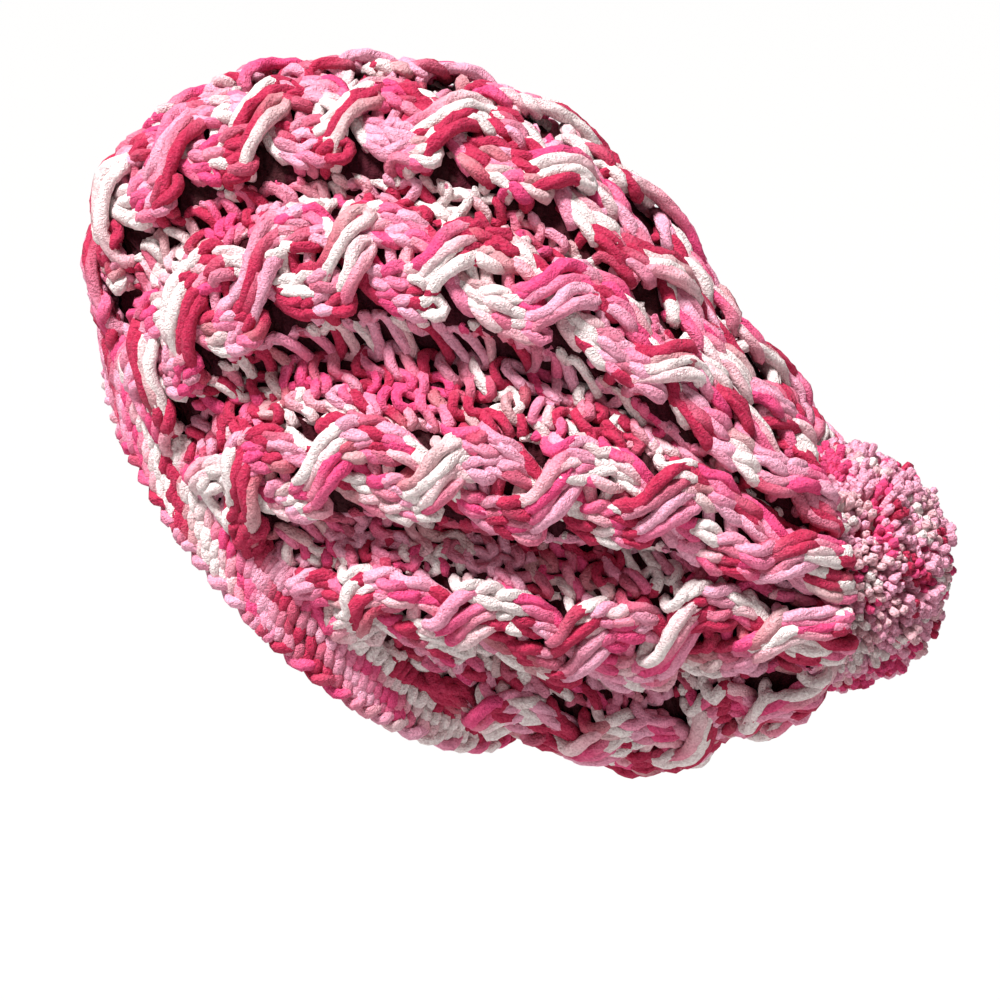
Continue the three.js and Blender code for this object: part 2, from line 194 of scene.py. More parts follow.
class Curves:
    """A table whose columns are read as smooth curves of the place along the knit."""

    def __init__(self, rows: Iterable[Any]) -> None:
        """Keeps the table.

        Args:
            rows: dataclasses of numbers, whose first field is the place along.
        """
        table = np.array([astuple(row) for row in rows], float)
        last = len(table) - 1
        order = np.arange(last + 1)
        after = np.minimum(order + 1, last)
        before = np.maximum(order - 1, 0)
        self.places = table[:, 0]
        self.values = table[:, 1:]
        paces = self.places[after] - self.places[before]
        self.slopes = (self.values[after] - self.values[before]) / paces[:, None]

    def at(self, along: Array) -> Array:
        """Reads every column.

        Args:
            along: the places, in any shape.

        Returns:
            The places' shape with the columns as its last axis.
        """
        row = np.clip(np.searchsorted(self.places, along) - 1, 0, len(self.places) - 2)
        span = self.places[row + 1] - self.places[row]
        t = np.clip((along - self.places[row]) / span, 0.0, 1.0)[..., None]
        span = span[..., None]
        start = (1 + 2 * t) * (1 - t) ** 2 * self.values[row]
        end = t * t * (3 - 2 * t) * self.values[row + 1]
        start_slope = t * (1 - t) ** 2 * span * self.slopes[row]
        end_slope = t * t * (t - 1) * span * self.slopes[row + 1]
        return start + end + start_slope + end_slope


def smooth_step(low: float, high: float, value: Array) -> Array:
    """A smooth rise from 0 at low to 1 at high."""
    share = np.clip((value - low) / (high - low), 0.0, 1.0)
    return share * share * (3 - 2 * share)


class HatForm:
    """The bag's form: turns a wale, a place along and a lift into a point, in millimetres."""

    def __init__(self) -> None:
        """Reads the tables."""
        self.sections = Curves(SECTIONS)
        self.lines = Curves(CABLE_LINES)
        self.widths = Curves(CABLE_WIDTHS)
        self.folds = np.array([astuple(fold) for fold in FOLDS], float)

    def plain(self, angle: Array, along: Array) -> Array:
        """Points on the plain form, without ridges and folds.

        Args:
            angle: angles round the sections from their top points, in radians.
            along: places along the knit.

        Returns:
            An array with x, y and z as its last axis, in millimetres.
        """
        top_x, top_z, bottom_x, bottom_z, half_width, bow, egg = np.moveaxis(
            self.sections.at(along), -1, 0)
        arm_x = (top_x - bottom_x) / 2
        arm_z = (top_z - bottom_z) / 2
        arm = np.hypot(arm_x, arm_z)
        side = np.sin(angle)
        up = np.cos(angle)
        push = bow * side * side / arm
        x = (top_x + bottom_x) / 2 + arm_x * up + arm_z * push
        y = -half_width * side * (1 - egg * up)
        z = (top_z + bottom_z) / 2 + arm_z * up - arm_x * push
        return np.stack([x, y, z], axis=-1)

    def normal(self, angle: Array, along: Array) -> Array:
        """Unit vectors that point out of the plain form.

        Args:
            angle: angles round the sections, in radians.
            along: places along the knit.

        Returns:
            An array with x, y and z as its last axis.
        """
        step = 0.004
        high = np.minimum(along + step, 1.0)
        low = np.maximum(high - 2 * step, 0.0)
        around = self.plain(angle + step, along) - self.plain(angle - step, along)
        forward = self.plain(angle, high) - self.plain(angle, low)
        out = np.cross(around, forward)
        return out / np.linalg.norm(out, axis=-1, keepdims=True)

    def cable_angle(self, unit: Array, along: Array) -> Array:
        """The angle of a cable's middle line.

        Args:
            unit: the cables' numbers. Those past the last go round again.
            along: places along the knit.

        Returns:
            Angles in radians.
        """
        turns = unit // UNITS
        degrees = np.take_along_axis(
            self.lines.at(along), (unit - UNITS * turns)[..., None], axis=-1)[..., 0]
        return np.radians(degrees + 360.0 * turns)

    def cable_half_angle(self, unit: Array, along: Array) -> Array:
        """Half of the angle that a cable takes up.

        Args:
            unit: the cables' numbers.
            along: places along the knit.

        Returns:
            Angles in radians.
        """
        angle = self.cable_angle(unit, along)
        step = 0.01
        chord = self.plain(angle + step, along) - self.plain(angle - step, along)
        pace = np.linalg.norm(chord, axis=-1) / (2 * step)
        before = angle - self.cable_angle(unit - 1, along)
        after = self.cable_angle(unit + 1, along) - angle
        room = WIDEST_CABLE_SHARE * np.minimum(before, after)
        return np.minimum(self.widths.at(along)[..., 0] / pace, room)

    def wale_angle(self, wale: Array, along: Array) -> Array:
        """The angle of a wale.

        Args:
            wale: wales, counted from the middle of the first cable.
            along: places along the knit.

        Returns:
            Angles in radians.
        """
        unit = np.floor(wale / WALES_PER_UNIT).astype(int)
        in_unit = wale - unit * WALES_PER_UNIT
        start = self.cable_angle(unit, along)
        end = self.cable_angle(unit + 1, along)
        start_edge = start + self.cable_half_angle(unit, along)
        end_edge = end - self.cable_half_angle(unit + 1, along)
        gore_wales = WALES_PER_UNIT - 2 * CABLE_HALF_WALES
        from_edge = in_unit - CABLE_HALF_WALES
        before = start + (start_edge - start) * in_unit / CABLE_HALF_WALES
        between = start_edge + (end_edge - start_edge) * from_edge / gore_wales
        after = end_edge + (end - end_edge) * (from_edge - gore_wales) / CABLE_HALF_WALES
        return np.where(from_edge < 0, before, np.where(from_edge > gore_wales, after, between))

    def fabric_lift(self, wale: Array, along: Array) -> Array:
        """How far the fabric stands off the plain form: up at the cables, down in the folds.

        Args:
            wale: wales, counted from the middle of the first cable.
            along: places along the knit.

        Returns:
            Heights in millimetres.
        """
        unit = np.floor(wale / WALES_PER_UNIT).astype(int)
        in_unit = wale - unit * WALES_PER_UNIT
        grown = smooth_step(BAND_END, RIDGES_FULL, along)
        grown = grown * (1 - smooth_step(RIM, RIDGES_GONE, along))
        ridge = CABLE_RIDGE * (0.5 + 0.5 * np.cos(TURN * in_unit / WALES_PER_UNIT))
        gore_wales = WALES_PER_UNIT - 2 * CABLE_HALF_WALES
        share = np.clip((in_unit - CABLE_HALF_WALES) / gore_wales, 0.0, 1.0)
        start, end, depth, deepest = np.moveaxis(self.folds[unit % UNITS], -1, 0)
        reach = np.clip((along - start) / (end - start), 0.0, 1.0)
        deep = depth * np.sin(math.pi * reach) ** FOLD_BLUNTNESS
        leaning = share ** (math.log(0.5) / np.log(deepest))
        sunk = np.maximum(np.sin(math.pi * leaning), 0.0) ** FOLD_NARROWNESS
        return grown * (ridge - deep * sunk)

    def place(self, wale: Array, along: Array, lift: Array) -> Array:
        """Points of the fabric.

        Args:
            wale: wales, as shares of a wale.
            along: places along the knit.
            lift: millimetres out of the fabric's outer face.

        Returns:
            An array with x, y and z as its last axis.
        """
        angle = self.wale_angle(wale, along)
        out = self.normal(angle, along)
        height = self.fabric_lift(wale, along) + lift
        return self.plain(angle, along) + out * height[..., None]

    def length(self, wale: float, start: float, end: float) -> float:
        """The length of a wale.

        Args:
            wale: the wale.
            start: the place along where it is measured from.
            end: the place along where it is measured to.

        Returns:
            The length in millimetres.
        """
        along = np.linspace(start, end, LENGTH_SAMPLES)
        points = self.plain(self.wale_angle(np.full(along.shape, wale), along), along)
        return float(np.linalg.norm(np.diff(points, axis=0), axis=1).sum())

    def width(self, first: float, last: float, along: float) -> float:
        """The width of the fabric.

        Args:
            first: the wale that it is measured from.
            last: the wale that it is measured to.
            along: the place along.

        Returns:
            The width in millimetres.
        """
        wales = np.linspace(first, last, WIDTH_SAMPLES)
        places = np.full(wales.shape, along)
        points = self.plain(self.wale_angle(wales, places), places)
        return float(np.linalg.norm(np.diff(points, axis=0), axis=1).sum())


@dataclass(frozen=True)
class Loop:
    """The shape of one stitch. Height is a share of the row pitch, depth is in millimetres."""

    height: float
    waist: float
    depth: float
    facing: Facing
    keys: int = 8

    def turns(self) -> Array:
        """The places round the loop, from 0 at its foot to a whole turn at the next foot."""
        return TURN * (np.arange(self.keys) + 0.5) / self.keys

    def across(self) -> Array:
        """The keys' places across the stitch, in wales from its middle."""
        turn = self.turns()
        return turn / TURN - 0.5 + self.waist * np.sin(2 * turn)

    def up(self) -> Array:
        """The keys' places along the wale, in row pitches from the middle of the row."""
        return -self.height * np.cos(self.turns())

    def out(self) -> Array:
        """The keys' lift in millimetres."""
        return -self.facing.value * self.depth * np.cos(2 * self.turns())


def smooth_path(keys: Array, closed: bool, fine: int = 6) -> Array:
    """A smooth line through key points.

    Args:
        keys: the key points, a row each.
        closed: whether the line returns to its start.
        fine: steps between two keys.

    Returns:
        The line's points. A closed line doesn't repeat its first point.
    """
    if closed:
        before, after, beyond = np.roll(keys, 1, 0), np.roll(keys, -1, 0), np.roll(keys, -2, 0)
        here = keys
    else:
        padded = np.concatenate([2 * keys[:1] - keys[1:2], keys, 2 * keys[-1:] - keys[-2:-1]])
        before, here, after, beyond = padded[:-3], padded[1:-2], padded[2:-1], padded[3:]
    t = (np.arange(fine) / fine)[None, :, None]
    before, here, after, beyond = (part[:, None, :] for part in (before, here, after, beyond))
    line = 0.5 * (2 * here + (after - before) * t
                  + (2 * before - 5 * here + 4 * after - beyond) * t ** 2
                  + (3 * here - before - 3 * after + beyond) * t ** 3)
    line = line.reshape(-1, 3)
    return line if closed else np.concatenate([line, keys[-1:]])


def even_path(line: Array, pace: float, closed: bool) -> tuple[Array, float]:
    """Spreads points evenly on a line.

    Args:
        line: the line's points.
        pace: the wished distance between points, in millimetres.
        closed: whether the line returns to its start.

    Returns:
        The points and the line's length.
    """
    whole = np.concatenate([line, line[:1]]) if closed else line
    steps = np.linalg.norm(np.diff(whole, axis=0), axis=1)
    distance = np.concatenate([[0.0], np.cumsum(steps)])
    count = max(3, int(round(distance[-1] / pace)))
    wished = np.linspace(0.0, distance[-1], count + 1)
    if closed:
        wished = wished[:-1]
    points = np.stack([np.interp(wished, distance, whole[:, axis]) for axis in range(3)], axis=1)
    return points, float(distance[-1])


@dataclass(frozen=True)
class Waver:
    """A waver in the yarn's thickness: a share of the radius, a length and an offset."""

    share: float
    length: float
    offset: float


WAVERS = (Waver(0.07, 7.3, 1.0), Waver(0.06, 3.1, 1.7))

# A direction that no yarn starts along
ASKEW = (0.3, -0.5, 0.8)


@dataclass
class YarnMesh:
    """Gathers lengths of yarn as tubes, and makes one mesh of them."""

    radius: float
    sides: int = 8
    pace: float = 1.9
    lumps: float = 0.075
    cut_girth: float = 0.16
    cut_rounding: float = 1.2
    seed: int = 17
    points: list[Array] = field(default_factory=list)
    corners: list[Array] = field(default_factory=list)
    maps: list[Array] = field(default_factory=list)
    starts: list[Array] = field(default_factory=list)
    made_points: int = 0
    made_corners: int = 0

    def __post_init__(self) -> None:
        """Starts the seeded draws."""
        self.draw = np.random.default_rng(self.seed)

    def lay(self, keys: Array, start: float, closed: bool = False, thick: float = 1.0) -> float:
        """Lays a length of yarn.

        Args:
            keys: key points in millimetres.
            start: how far along the dyed yarn this length starts, in metres.
            closed: whether it returns to its start.
            thick: its thickness as a share of the yarn's.

        Returns:
            The length of yarn that it took, in metres.
        """
        path, length = even_path(smooth_path(keys, closed), self.pace, closed)
        self.sweep(path, start, length * METRES, closed, self.girth(path, start, closed) * thick)
        return length * METRES

    def girth(self, path: Array, start: float, closed: bool) -> Array:
        """The yarn's radius at each point: uneven as spun, and rounded off at cut ends.

        Args:
            path: the points.
            start: how far along the dyed yarn the path starts, in metres.
            closed: whether the path returns to its start.

        Returns:
            A radius for each point, in millimetres.
        """
        place = np.arange(len(path)) * self.pace
        spun = start * MILLIMETRES
        uneven = sum(waver.share * np.sin(place / waver.length + waver.offset * spun)
                     for waver in WAVERS)
        girth = self.radius * (1.0 + uneven)
        if not closed:
            from_end = np.minimum(place, place[::-1]) / (self.cut_rounding * self.radius)
            girth = girth * np.sqrt(np.clip(self.cut_girth + from_end, 0.0, 1.0))
        return girth

    def sweep(self, path: Array, start: float, length: float, closed: bool, girth: Array) -> None:
        """Sweeps a round section along a path.

        Args:
            path: the points, in millimetres.
            start: the dyed yarn's place at the path's start, in metres.
            length: the path's length in metres.
            closed: whether the path returns to its start.
            girth: the radius at each point.
        """
        count = len(path)
        if closed:
            along = np.roll(path, -1, 0) - np.roll(path, 1, 0)
        else:
            along = np.gradient(path, axis=0)
        along = along / np.linalg.norm(along, axis=1, keepdims=True)
        side = self.carried(along)
        if closed:
            side = self.closed_up(side, along)
        other = np.cross(along, side)
        angle = TURN * np.arange(self.sides) / self.sides
        ring = side[:, None] * np.cos(angle)[:, None] + other[:, None] * np.sin(angle)[:, None]
        fluffed = girth[:, None] * (1.0 + self.draw.normal(0.0, self.lumps, (count, self.sides)))
        points = path[:, None] + ring * fluffed[..., None]
        self.points.append(points.reshape(-1, 3))
        steps = count if closed else count - 1
        here = np.arange(steps)[:, None]
        there = (here + 1) % count
        turn = np.arange(self.sides)[None, :]
        after = (turn + 1) % self.sides
        quads = np.stack([here * self.sides + turn, here * self.sides + after,
                          there * self.sides + after, there * self.sides + turn], axis=-1)
        pace = length / steps
        u = start + pace * np.stack([here, here, here + 1, here + 1], -1)
        v = np.stack([turn, turn + 1, turn + 1, turn], -1) / self.sides
        u, v = np.broadcast_arrays(u, v)
        self.keep_faces(quads.reshape(-1, 4), np.stack([u, v], -1).reshape(-1, 4, 2))
        if not closed:
            for base, order, place in ((0, -1, start), (count - 1, 1, start + length)):
                cap = base * self.sides + np.arange(self.sides)[::order]
                shares = np.arange(self.sides) / self.sides
                flat = np.stack([np.full(self.sides, place), shares], -1)
                self.keep_faces(cap[None], flat[None])
        self.made_points += count * self.sides

    @staticmethod
    def carried(along: Array) -> Array:
        """Unit vectors across the path, each carried on from the one before without a twist.

        Args:
            along: unit vectors along the path.

        Returns:
            A unit vector for each point.
        """
        first = np.cross(along[0], ASKEW)
        side = np.empty_like(along)
        side[0] = first / np.linalg.norm(first)
        for step in range(1, len(along)):
            flat = side[step - 1] - along[step] * (side[step - 1] @ along[step])
            side[step] = flat / np.linalg.norm(flat)
        return side

    @staticmethod
    def closed_up(side: Array, along: Array) -> Array:
        """Spreads the twist that is left over on a closed path along all of it.

        Args:
            side: unit vectors across the path.
            along: unit vectors along the path.

        Returns:
            The turned vectors across the path.
        """
        last = side[-1] - along[0] * (side[-1] @ along[0])
        other = np.cross(along[0], side[0])
        twist = math.atan2(float(last @ other), float(last @ side[0]))
        share = -twist * np.arange(len(side)) / len(side)
        across = np.cross(along, side)
        return side * np.cos(share)[:, None] + across * np.sin(share)[:, None]

    def keep_faces(self, corners: Array, flat: Array) -> None:
        """Keeps faces of one size.

        Args:
            corners: the faces' corners, counted from the length of yarn's first point.
            flat: the corners' places on the yarn map.
        """
        size = corners.shape[1]
        self.corners.append((corners + self.made_points).ravel())
        self.maps.append(flat.reshape(-1, 2))
        self.starts.append(self.made_corners + size * np.arange(len(corners)))
        self.made_corners += corners.size

    def build(self, name: str) -> bpy.types.Object:
        """Makes the mesh.

        Args:
            name: the piece's name.

        Returns:
            The new object, at the origin.
        """
        mesh = bpy.data.meshes.new(name)
        points = np.concatenate(self.points) * METRES
        corners = np.concatenate(self.corners).astype(np.int32)
        starts = np.concatenate(self.starts).astype(np.int32)
        mesh.vertices.add(len(points))
        mesh.vertices.foreach_set("co", points.astype(np.float32).ravel())
        mesh.loops.add(len(corners))
        mesh.loops.foreach_set("vertex_index", corners)
        mesh.polygons.add(len(starts))
        mesh.polygons.foreach_set("loop_start", starts)
        flat = mesh.uv_layers.new(name=YARN_MAP)
        flat.data.foreach_set("uv", np.concatenate(self.maps).astype(np.float32).ravel())
        mesh.polygons.foreach_set("use_smooth", np.ones(len(starts), bool))
        mesh.update(calc_edges=True)
        piece = bpy.data.objects.new(name, mesh)
        bpy.context.scene.collection.objects.link(piece)
        return piece


class Wire:
    """A shader socket on which arithmetic is written. Each operator adds a Math node."""

    def __init__(self, shader: "Shader", socket: bpy.types.NodeSocket) -> None:
        """Wraps an output socket."""
        self.shader = shader
        self.socket = socket

    def __add__(self, other: "Wire | float") -> "Wire":
        """Sum."""
        return self.shader.maths("ADD", self, other)

    __radd__ = __add__

    def __mul__(self, other: "Wire | float") -> "Wire":
        """Product."""
        return self.shader.maths("MULTIPLY", self, other)

    __rmul__ = __mul__

    def __sub__(self, other: "Wire | float") -> "Wire":
        """Difference."""
        return self.shader.maths("SUBTRACT", self, other)

    def __rsub__(self, other: "Wire | float") -> "Wire":
        """Difference, the other way round."""
        return self.shader.maths("SUBTRACT", other, self)


class Shader:
    """A material's nodes. Any node comes from one method, and maths is written on wires."""

    def __init__(self, name: str) -> None:
        """Starts an empty material.

        Args:
            name: the material's name.
        """
        self.material = bpy.data.materials.new(name)
        self.material.use_nodes = True
        self.tree = self.material.node_tree
        self.tree.nodes.clear()

    def node(self, kind: str, settings: dict[str, Any] | None = None,
             **sockets: Any) -> bpy.types.Node:
        """Adds a node.

        Args:
            kind: the node's type.
            settings: its settings, where a ramp's stops are a list of (place, colour).
            sockets: values or wires for its inputs, with _ for a space in a name.

        Returns:
            The node.
        """
        made = self.tree.nodes.new(kind)
        for key, value in (settings or {}).items():
            if key == "stops":
                self.set_stops(made.color_ramp, value)
            else:
                setattr(made, key, value)
        for key, value in sockets.items():
            self.plug(made.inputs[key.replace("_", " ")], value)
        return made

    def plug(self, socket: bpy.types.NodeSocket, value: Any) -> None:
        """Links a wire to an input, or sets the input's value.

        Args:
            socket: the input.
            value: the wire or the value.
        """
        if isinstance(value, Wire):
            self.tree.links.new(value.socket, socket)
        else:
            socket.default_value = value

    @staticmethod
    def set_stops(ramp: bpy.types.ColorRamp, stops: list[tuple[float, Colour]]) -> None:
        """Sets a ramp's stops.

        Args:
            ramp: the ramp.
            stops: the places and their colours.
        """
        while len(ramp.elements) > 1:
            ramp.elements.remove(ramp.elements[-1])
        for order, (place, colour) in enumerate(stops):
            stop = ramp.elements[0] if order == 0 else ramp.elements.new(place)
            stop.position = place
            stop.color = (*colour, 1.0)

    def maths(self, operation: str, first: Any, second: Any = 0.0) -> Wire:
        """Adds a Math node.

        Args:
            operation: the node's operation.
            first: a number or a wire.
            second: a number or a wire.

        Returns:
            The result.
        """
        made = self.node("ShaderNodeMath", {"operation": operation})
        self.plug(made.inputs[0], first)
        self.plug(made.inputs[1], second)
        return Wire(self, made.outputs[0])

    def noise(self, vector: Wire, scale: float, detail: float = 3.0) -> Wire:
        """Adds a noise.

        Args:
            vector: the point where it is read.
            scale: its scale.
            detail: its detail.

        Returns:
            The noise, from 0 to 1.
        """
        made = self.node("ShaderNodeTexNoise", {"noise_dimensions": "3D"},
                         Vector=vector, Scale=scale, Detail=detail)
        return Wire(self, made.outputs["Fac"])

    def mix(self, share: Any, first: Any, second: Any, blend: str = "MIX") -> Wire:
        """Mixes two colours, which a Mix node has as its inputs 6 and 7.

        Args:
            share: the second colour's share, a number or a wire.
            first: a colour or a wire.
            second: a colour or a wire.
            blend: the way of mixing.

        Returns:
            The mixed colour.
        """
        made = self.node("ShaderNodeMix", {"data_type": "RGBA", "blend_type": blend})
        self.plug(made.inputs[0], share)
        self.plug(made.inputs[6], first)
        self.plug(made.inputs[7], second)
        return Wire(self, made.outputs[2])


@dataclass(frozen=True)
class DyedYarn:
    """Soft chunky yarn dyed in short stretches of crimson, hot pink, light pink and cream.

    The repeat is in metres of yarn. Twist is the metres that a ply takes for one turn. The scales
    are of noises in the piece's own space, and the depths are shares of the bump's distance.
    """

    name: str
    repeat: float = 0.62
    wander_scale: float = 240.0
    wander: float = 0.01
    plies: float = 2.0
    twist: float = 0.014
    ply_depth: float = 0.8
    fluff_depth: float = 1.7
    fibre_scale: float = 1500.0
    bump_strength: float = 0.9
    bump_distance: float = 0.0007
    speck_scale: float = 900.0
    speck_contrast: float = 2.2
    speck_middle: float = 0.66
    speck_share: float = 0.7
    speck_shade: Colour = (0.55, 0.33, 0.39)
    fleck_colour: Colour = (1.0, 0.86, 0.92)
    crimson: Colour = (0.52, 0.005, 0.065)
    hot_pink: Colour = (0.84, 0.055, 0.215)
    light_pink: Colour = (0.94, 0.43, 0.58)
    cream: Colour = (0.95, 0.85, 0.82)
    blur: float = 0.042
    sheen: float = 0.07
    sheen_roughness: float = 0.5
    sheen_tint: Colour = (1.0, 0.55, 0.68)
    fleck: float = 0.06
    roughness: float = 0.9
    roughness_swing: float = 0.2
    specular: float = 0.12

    def stops(self) -> list[tuple[float, Colour]]:
        """The dyed stretches of one repeat, each with a short blur into the next.

        Returns:
            The colour ramp's places and colours.
        """
        stretches = ((0.15, self.crimson), (0.13, self.cream), (0.12, self.hot_pink),
                     (0.12, self.light_pink), (0.13, self.crimson), (0.11, self.light_pink),
                     (0.11, self.hot_pink), (0.13, self.cream))
        stops = []
        place = 0.0
        for share, colour in stretches:
            stops.append((place + self.blur, colour))
            place += share
            stops.append((place - self.blur, colour))
        return stops

    def material(self) -> bpy.types.Material:
        """Builds the material.

        Returns:
            The material.
        """
        shader = Shader(self.name)
        flat = shader.node("ShaderNodeUVMap", {"uv_map": YARN_MAP})
        parts = shader.node("ShaderNodeSeparateXYZ", Vector=Wire(shader, flat.outputs["UV"]))
        yarn = Wire(shader, parts.outputs["X"])
        round_share = Wire(shader, parts.outputs["Y"])
        place = shader.node("ShaderNodeTexCoord")
        point = Wire(shader, place.outputs["Object"])
        wander = shader.noise(point, self.wander_scale, detail=1.0) - 0.5
        dyed = shader.maths("FRACT", yarn * (1.0 / self.repeat) + wander * self.wander)
        ramp = shader.node("ShaderNodeValToRGB", {"stops": self.stops()}, Fac=dyed)
        fibre = shader.noise(point, self.fibre_scale) - 0.5
        speck = shader.noise(point, self.speck_scale) - 0.5
        colour = Wire(shader, ramp.outputs["Color"])
        dark = shader.mix(1.0, colour, (*self.speck_shade, 1.0), "MULTIPLY")
        light = shader.mix(self.fleck, colour, (*self.fleck_colour, 1.0))
        shade = shader.mix(speck * self.speck_contrast + self.speck_middle, dark, light)
        colour = shader.mix(self.speck_share, colour, shade)
        turns = round_share * self.plies + yarn * (1.0 / self.twist)
        ply = shader.maths("SINE", turns * TURN)
        height = ply * self.ply_depth + (fibre + speck) * self.fluff_depth
        bump = shader.node("ShaderNodeBump", Height=height, Strength=self.bump_strength,
                           Distance=self.bump_distance)
        surface = shader.node(
            "ShaderNodeBsdfPrincipled", Base_Color=colour,
            Roughness=self.roughness + fibre * self.roughness_swing,
            Normal=Wire(shader, bump.outputs["Normal"]), Sheen_Weight=self.sheen,
            Sheen_Roughness=self.sheen_roughness, Sheen_Tint=(*self.sheen_tint, 1.0),
            Specular_IOR_Level=self.specular)
        shader.node("ShaderNodeOutputMaterial", Surface=Wire(shader, surface.outputs["BSDF"]))
        return shader.material


@dataclass
class Knitting:
    """What every knitted piece shares: the form, the yarn and the seeded unevenness."""

    form: HatForm
    finish: bpy.types.Material
    seed: int
    radius: float = 2.55

    def __post_init__(self) -> None:
        """Starts the seeded draws."""
        self.draw = np.random.default_rng(self.seed)

    def uneven(self, shape: tuple[int, ...], size: float) -> Array:
        """Seeded unevenness around nought."""
        return self.draw.normal(0.0, size, shape)

    def finished(self, yarn: YarnMesh, name: str, slot: str, stands_for: str) -> bpy.types.Object:
        """Makes a piece of the yarn, dresses it and hands it over.

        Args:
            yarn: the yarn that was laid.
            name: the piece's name.
            slot: the record's material slot. It is not used.
            stands_for: the node that it replaces.

        Returns:
            The piece.
        """
        piece = yarn.build(name)
        piece.data.materials.append(self.finish)
        hand_over(piece, stands_for)
        return piece


def hand_over(piece: bpy.types.Object, stands_for: str) -> None:
    """Fixes a piece to the hat's body in place of a node.

    Args:
        piece: the finished piece.
        stands_for: the node that it replaces.
    """
    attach(piece, "root")
    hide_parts(stands_for)
    faces = sum(len(face.vertices) - 2 for face in piece.data.polygons)
    log.info("%s stands for %s, %d triangles", piece.name, stands_for, faces)


@dataclass(frozen=True)
class RopeRow:
    """A row of a rope within a crossing: its middle and half length as shares of the crossing.

    The lift, and the further lift of the loops' heads, are in millimetres.
    """

    middle: float
    reach: float
    lift: float
    head: float = 0.0

    @property
    def drawn_out(self) -> bool:
        """Whether the row's loops are drawn out long over the other rope."""
        return self.head > 0.0


OVER_ROWS = (
    RopeRow(0.03, 0.16, -0.6),
    RopeRow(0.16, 0.17, -0.1),
    RopeRow(0.49, 0.38, 0.5, 1.3),
    RopeRow(0.79, 0.17, -0.6),
    RopeRow(0.93, 0.16, -0.4),
)
UNDER_ROWS = tuple(RopeRow((row + 0.5) / 5, 0.155, 0.0) for row in range(5))


@dataclass
class RopeCable(Knitting):
    """A rope cable: two ropes of two wales that cross over each other again and again.

    One row of each crossing is drawn out long where it goes over the other rope.
    """

    radius: float = 2.45
    crossing_length: float = 42.0
    swing: float = 1.14
    suddenness: float = 2.2
    rise: float = 2.6
    base: float = 1.9
    wale_share: float = 0.86
    squeeze: float = 0.12
    wander: float = 0.38
    drawn_out_girth: float = 1.12
    end_step: float = 0.25
    end_lift: float = -4.5
    reach_spread: float = 0.10
    place_spread: float = 0.02
    bow_spread: float = 0.10
    side_spread: float = 0.08
    lift_spread: float = 0.5
    loop: Loop = Loop(height=1.0, waist=0.22, depth=2.0, facing=Facing.KNIT)

    def crossings(self, unit: int) -> int:
        """How many crossings a cable has."""
        length = self.form.length(unit * WALES_PER_UNIT, CABLE_START, CABLE_END)
        return max(3, round(length / self.crossing_length))

    def keys(self, unit: int, crossing: int, row: int, pace: float) -> Array:
        """The key points of one row: two stitches of the rope on the left, then the other's.

        Args:
            unit: the cable's number, from 0.
            crossing: the crossing's number, from 0 at the band.
            row: the row's number in the crossing.
            pace: the length of a crossing as a share of the way along.

        Returns:
            Points in millimetres.
        """
        over = 1 if crossing % 2 == 0 else -1
        late = OVER_ROWS[row].middle > 0.5
        left = -over if late else over
        last = crossing == self.crossings(unit) - 1
        stitches = []
        for rope in (-left, left):
            place = OVER_ROWS[row] if rope == over and not last else UNDER_ROWS[row]
            for column in (-0.5, 0.5):
                stitches.append(self.stitch(crossing, place, rope, column))
        wale, share, lift = np.concatenate(stitches, axis=1)
        along = CABLE_START + share * pace
        wale = np.concatenate([[wale[0] - self.end_step], wale, [wale[-1] + self.end_step]])
        along = np.concatenate([[along[0]], along, [along[-1]]])
        lift = np.concatenate([[self.end_lift], lift, [self.end_lift]])
        points = self.form.place(
            wale + unit * WALES_PER_UNIT, np.clip(along, 0.0, LAST_ALONG), lift)
        return points + self.uneven(points.shape, self.wander)

    def stitch(self, crossing: int, place: RopeRow, rope: int, column: float) -> Array:
        """One stitch's keys, as wales from the cable's middle, crossings and lifts.

        Args:
            crossing: the crossing's number.
            place: the row's place in the crossing.
            rope: 1 or -1, for the rope.
            column: the stitch's place in the rope, in wales.

        Returns:
            An array of three rows.
        """
        reach = place.reach * (1 + float(self.uneven((), self.reach_spread)))
        share = crossing + place.middle + reach * self.loop.up()
        share = share + float(self.uneven((), self.place_spread))
        turn = math.pi * np.maximum(share, 0.0)
        width = self.wale_share - self.squeeze * np.sin(turn) ** 2
        side = np.cos(turn)
        if not place.drawn_out:
            side = np.tanh(self.suddenness * side) / math.tanh(self.suddenness)
        wale = rope * self.swing * side + (column + self.loop.across()) * width
        headward = (1 - np.cos(self.loop.turns())) / 2
        bowed = float(self.uneven((), self.bow_spread)) * np.sin(math.pi * headward)
        wale = wale + float(self.uneven((), self.side_spread)) + bowed
        height = np.sin(turn) * np.abs(np.sin(turn))
        lift = self.base + rope * self.rise * height + self.loop.out() + place.lift
        lift = lift + place.head * headward ** 2 + float(self.uneven((), self.lift_spread))
        return np.stack([wale, share, lift])

    def build(self, unit: int) -> bpy.types.Object:
        """Knits one cable.

        Args:
            unit: the cable's number, from 0.

        Returns:
            The piece.
        """
        yarn = YarnMesh(self.radius, sides=7, pace=2.5)
        crossings = self.crossings(unit)
        pace = (CABLE_END - CABLE_START) / crossings
        for crossing in range(crossings):
            for row in range(len(OVER_ROWS)):
                thick = self.drawn_out_girth if OVER_ROWS[row].drawn_out else 1.0
                keys = self.keys(unit, crossing, row, pace)
                yarn.lay(keys, float(self.draw.uniform(0.0, DYED_LENGTH)), thick=thick)
        return self.finished(yarn, f"cable_{unit + 1}_ropes", "cable_knit", f"cable_{unit + 1}")


